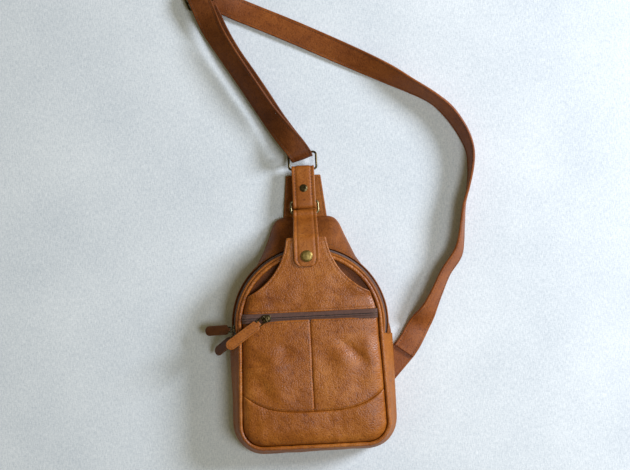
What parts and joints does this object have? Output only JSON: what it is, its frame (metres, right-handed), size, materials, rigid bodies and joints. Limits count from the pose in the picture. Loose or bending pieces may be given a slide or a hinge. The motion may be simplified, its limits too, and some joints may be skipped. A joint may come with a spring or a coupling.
{
  "type": "sling bag",
  "caption": "Leather sling bag with an arched zipped main compartment, a zipped front pocket, a snap tab, ring connectors and a long adjustable shoulder strap.",
  "frame": {"origin": "on the back panel's resting face, behind the centre of the front arch", "axes": "+Y towards the top ring, +Z out of the front, +X to the wearer's side where the strap's fixed end is"},
  "size_m": [0.3081, 0.5264, 0.0516],
  "materials": {
    "leather_tan": "satin",
    "leather_dark": "satin",
    "lining": "matte",
    "zip_tape": "matte",
    "zip_coil": "matte",
    "antique_brass": "satin",
    "bright_brass": "polished"
  },
  "bodies": {
    "bag": {"back_panel": "leather_tan", "back_tab": "leather_dark", "strap_anchor": "leather_tan", "gusset": "leather_tan", "hood": "leather_tan", "main_lining": "lining", "front_panel": "leather_tan", "front_piping": "leather_tan", "main_zip_tape_back": "zip_tape", "main_coil_back": "zip_coil", "main_zip_tape_ends": "zip_tape", "main_coil_ends": "zip_coil", "main_zip_stops": "antique_brass", "pocket_lining": "lining", "pocket_panel_left": "leather_tan", "pocket_panel_right": "leather_tan", "bottom_panel": "leather_tan", "pocket_zip_tape_upper": "zip_tape", "pocket_zip_tape_lower": "zip_tape", "pocket_coil_upper": "zip_coil", "pocket_coil_lower": "zip_coil", "pocket_zip_stops": "antique_brass", "main_slider_b": "antique_brass", "snap_strap_anchor": "leather_tan", "shoulder_strap": "leather_tan", "adjuster_strap": "leather_dark", "adjuster_frame": "antique_brass", "adjuster_bar": "antique_brass"},
    "flap": {"flap_panel": "leather_tan", "flap_piping": "leather_tan", "flap_strip": "leather_tan", "flap_lining": "lining", "flap_zip_tape": "zip_tape", "flap_coil": "zip_coil", "yoke_overlay": "leather_tan", "snap_stud": "antique_brass"},
    "snap_tab": {"snap_strap": "leather_tan", "snap_cap": "bright_brass", "snap_socket": "antique_brass"},
    "first_main_slider": {"main_slider_a": "antique_brass"},
    "first_main_pull": {"main_pull_a_link": "antique_brass", "main_pull_a": "leather_dark"},
    "second_main_pull": {"main_pull_b_link": "antique_brass", "main_pull_b": "leather_dark"},
    "pocket_zip_slider": {"pocket_slider": "antique_brass"},
    "pocket_zip_pull": {"pocket_pull_link": "antique_brass", "pocket_pull": "leather_tan"},
    "ring_low": {"lower_ring": "antique_brass"},
    "connector": {"upper_loop": "leather_tan", "loop_rivet": "antique_brass"},
    "ring_high": {"upper_ring": "antique_brass"}
  },
  "joints": [
    {"name": "flap_fold", "type": "hinge", "parent": "bag", "child": "flap", "pos_m": [0, 0.0135, 0.0462], "axis": [1, 0, 0], "range_deg": [0, 30]},
    {"name": "snap_tab_lift", "type": "hinge", "parent": "bag", "child": "snap_tab", "pos_m": [0, 0.119, 0.017], "axis": [-1, 0, 0], "range_deg": [0, 96]},
    {"name": "first_main_slider_travel", "type": "hinge", "parent": "bag", "child": "first_main_slider", "pos_m": [0, 0, 0.033], "axis": [0, 0, -1], "range_deg": [0, 76]},
    {"name": "first_main_pull_swing", "type": "hinge", "parent": "first_main_slider", "child": "first_main_pull", "pos_m": [-0.08233, -0.00158, 0.03413], "axis": [-0.0418, 0.998, -0.0472], "range_deg": [0, 110]},
    {"name": "second_main_pull_swing", "type": "hinge", "parent": "bag", "child": "second_main_pull", "pos_m": [-0.0817, -0.01032, 0.03413], "axis": [-0.3009, 0.8679, -0.3952], "range_deg": [0, 80]},
    {"name": "pocket_slider_travel", "type": "slide", "parent": "bag", "child": "pocket_zip_slider", "axis": [1, 0, 0], "range_m": [-0.016, 0.108]},
    {"name": "pocket_pull_swing", "type": "hinge", "parent": "pocket_zip_slider", "child": "pocket_zip_pull", "pos_m": [-0.047, 0.009, 0.0478], "axis": [-0.5635, 0.8261, 0], "range_deg": [0, 150]},
    {"name": "lower_ring_swing", "type": "hinge", "parent": "bag", "child": "ring_low", "pos_m": [0, 0.119, 0.017], "axis": [1, 0, 0], "range_deg": [0, 10], "deforming": ["adjuster_strap"]},
    {"name": "connector_swing", "type": "hinge", "parent": "ring_low", "child": "connector", "pos_m": [0, 0.1321, 0.01539], "axis": [1, 0, 0], "range_deg": [0, 15], "deforming": ["adjuster_strap"]},
    {"name": "upper_ring_swing", "type": "hinge", "parent": "connector", "child": "ring_high", "pos_m": [0, 0.16724, 0.01108], "axis": [1, 0, 0], "range_deg": [0, 20], "deforming": ["adjuster_strap"]}
  ],
  "couplings": [
    {"joint": "snap_tab_lift", "follows": "flap_fold", "ratio": 3.2}
  ]
}
